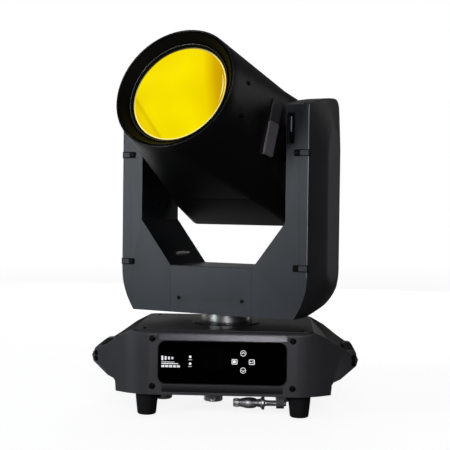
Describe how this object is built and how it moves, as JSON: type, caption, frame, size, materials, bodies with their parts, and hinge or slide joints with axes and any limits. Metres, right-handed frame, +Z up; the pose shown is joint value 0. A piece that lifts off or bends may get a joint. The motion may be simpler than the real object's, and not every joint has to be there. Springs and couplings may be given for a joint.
{
  "type": "moving head light",
  "caption": "Moving head stage light: a beam head with a yellow front lens tilts in a panning yoke on a base with control panel, carrying handles and rubber feet.",
  "frame": {"origin": "on the pan axis, at the underside of the base tray, centred on the four quick-lock receptacles", "axes": "+Z up along the pan axis; -Y is the base's front with the control panel; +X is to the right seen from the front"},
  "size_m": [0.44, 0.4098, 0.6179],
  "materials": {
    "black_sheet": "fine matte black powder coat",
    "black_casting": "satin black paint over a casting",
    "black_screw": "black oxide",
    "window_gloss": "glossy smoked window",
    "lcd": "dark display, off",
    "indicator_white": "clear light pipes",
    "button_plastic": "matte black keys with white outlines",
    "foot_rubber": "matte moulded rubber",
    "circuit_board": "green solder mask",
    "bare_aluminium": "machined",
    "motor_black": "black lacquer",
    "belt_rubber": "toothed belt",
    "bearing_steel": "ground",
    "socket_plastic": "moulded",
    "socket_metal": "nickel plated",
    "bright_steel": "zinc plated, turned",
    "cast_silver": "rough cast",
    "yoke_paint": "satin charcoal, fine texture",
    "cover_plastic": "fine-grained black plastic",
    "latch_silver": "satin",
    "head_plastic": "satin black plastic",
    "band_grey": "satin dark grey",
    "hood_black": "matte light-trap black",
    "lens_glass": "amber-yellow coated",
    "lamp_glass": "quartz",
    "reflector_mirror": "dichroic",
    "fan_plastic": "moulded",
    "wheel_aluminium": "anodised",
    "carriage_black": "anodised black"
  },
  "bodies": {
    "base": {"base_tray": "black_sheet", "base_top_cover": "black_sheet", "base_front_frame": "black_casting", "base_rear_frame": "black_casting", "carry_handle_left": "black_casting", "carry_handle_right": "black_casting", "handle_screws": "black_screw", "display_window": "window_gloss", "lcd_screen": "lcd", "panel_screws": "black_screw", "status_leds": "indicator_white", "foot_front_left": "foot_rubber", "foot_front_right": "foot_rubber", "foot_rear_left": "foot_rubber", "foot_rear_right": "foot_rubber", "control_board": "circuit_board", "lamp_ballast": "bare_aluminium", "pan_motor": "motor_black", "pan_belt": "belt_rubber", "pan_bearing": "bearing_steel", "connector_panel": "black_sheet", "power_sockets": "socket_plastic", "data_sockets": "socket_metal", "quick_lock_receptacles": "bright_steel", "rigging_lugs": "bright_steel"},
    "yoke": {"yoke_frame": "yoke_paint", "web_front_cover": "yoke_paint", "web_rear_cover": "yoke_paint", "side_cover_left": "cover_plastic", "side_cover_right": "cover_plastic", "yoke_screws": "black_screw", "pan_shaft": "bright_steel", "tilt_motor": "motor_black", "tilt_belt": "belt_rubber", "tilt_bearings": "bearing_steel"},
    "head": {"head_chassis": "bare_aluminium", "tilt_hubs": "black_casting", "tilt_drive_pulley": "bare_aluminium", "front_shroud": "head_plastic", "rear_shroud": "head_plastic", "side_band_left": "band_grey", "side_band_right": "band_grey", "lens_hood_ring": "hood_black", "front_lens": "lens_glass", "shroud_screws": "black_screw", "lamp": "lamp_glass", "reflector": "reflector_mirror"},
    "menu_button": {"menu_button": "button_plastic"},
    "up_button": {"up_button": "button_plastic"},
    "down_button": {"down_button": "button_plastic"},
    "enter_button": {"enter_button": "button_plastic"},
    "pan_motor_pulley": {"pan_motor_pulley": "bare_aluminium"},
    "tilt_motor_pulley": {"tilt_motor_pulley": "bare_aluminium"},
    "tilt_lock_latch": {"tilt_lock_latch": "latch_silver"},
    "pan_lock_lever": {"pan_lock_lever": "latch_silver"},
    "rigging_bolt": {"rigging_bolt": "cast_silver"},
    "cooling_fan": {"cooling_fan": "fan_plastic"},
    "color_wheel": {"color_wheel": "wheel_aluminium"},
    "gobo_wheel": {"gobo_wheel": "wheel_aluminium"},
    "focus_carriage": {"focus_carriage": "carriage_black"}
  },
  "joints": [
    {"name": "pan", "type": "hinge", "parent": "base", "child": "yoke", "pos_m": [0, 0, 0.1], "axis": [0, 0, 1], "range_deg": [-244.94, 295.06]},
    {"name": "tilt", "type": "hinge", "parent": "yoke", "child": "head", "pos_m": [0, 0, 0.4074], "axis": [-0.9059, 0.4236, 0], "range_deg": [-63, 197]},
    {"name": "pan_motor_turn", "type": "hinge", "parent": "base", "child": "pan_motor_pulley", "pos_m": [-0.1, 0, 0.068], "axis": [0, 0, 1], "range_deg": [-985, 1185]},
    {"name": "tilt_motor_turn", "type": "hinge", "parent": "yoke", "child": "tilt_motor_pulley", "pos_m": [0, 0, 0.308], "axis": [-0.9059, 0.4236, 0], "range_deg": [-255, 790]},
    {"name": "tilt_lock_slide", "type": "slide", "parent": "yoke", "child": "tilt_lock_latch", "axis": [0, 0, -1], "range_m": [0, 0.014]},
    {"name": "pan_lock_slide", "type": "slide", "parent": "yoke", "child": "pan_lock_lever", "axis": [0.4236, 0.9059, 0], "range_m": [-0.006, 0.006]},
    {"name": "rigging_bolt_turn", "type": "hinge", "parent": "base", "child": "rigging_bolt", "pos_m": [0.08, -0.1, -0.016], "axis": [1, 0, 0], "continuous": true},
    {"name": "cooling_fan_spin", "type": "hinge", "parent": "head", "child": "cooling_fan", "pos_m": [0, 0, 0.4074], "axis": [-0.3902, -0.8345, 0.3891], "continuous": true},
    {"name": "color_wheel_spin", "type": "hinge", "parent": "head", "child": "color_wheel", "pos_m": [-0.00725, -0.01551, 0.36687], "axis": [-0.3902, -0.8345, 0.3891], "continuous": true},
    {"name": "gobo_wheel_spin", "type": "hinge", "parent": "head", "child": "gobo_wheel", "pos_m": [0.00725, 0.01551, 0.44793], "axis": [-0.3902, -0.8345, 0.3891], "continuous": true},
    {"name": "focus_slide", "type": "slide", "parent": "head", "child": "focus_carriage", "axis": [-0.3902, -0.8345, 0.3891], "range_m": [-0.03, 0.045]},
    {"name": "menu_button_press", "type": "slide", "parent": "base", "child": "menu_button", "axis": [0, 1, 0], "range_m": [0, 0.0008], "stiffness_N_per_m": 600, "springref_m": -0.0005},
    {"name": "up_button_press", "type": "slide", "parent": "base", "child": "up_button", "axis": [0, 1, 0], "range_m": [0, 0.0008], "stiffness_N_per_m": 600, "springref_m": -0.0005},
    {"name": "down_button_press", "type": "slide", "parent": "base", "child": "down_button", "axis": [0, 1, 0], "range_m": [0, 0.0008], "stiffness_N_per_m": 600, "springref_m": -0.0005},
    {"name": "enter_button_press", "type": "slide", "parent": "base", "child": "enter_button", "axis": [0, 1, 0], "range_m": [0, 0.0008], "stiffness_N_per_m": 600, "springref_m": -0.0005}
  ],
  "couplings": [
    {"joint": "pan_motor_turn", "follows": "pan", "ratio": 4},
    {"joint": "tilt_motor_turn", "follows": "tilt", "ratio": 4}
  ]
}
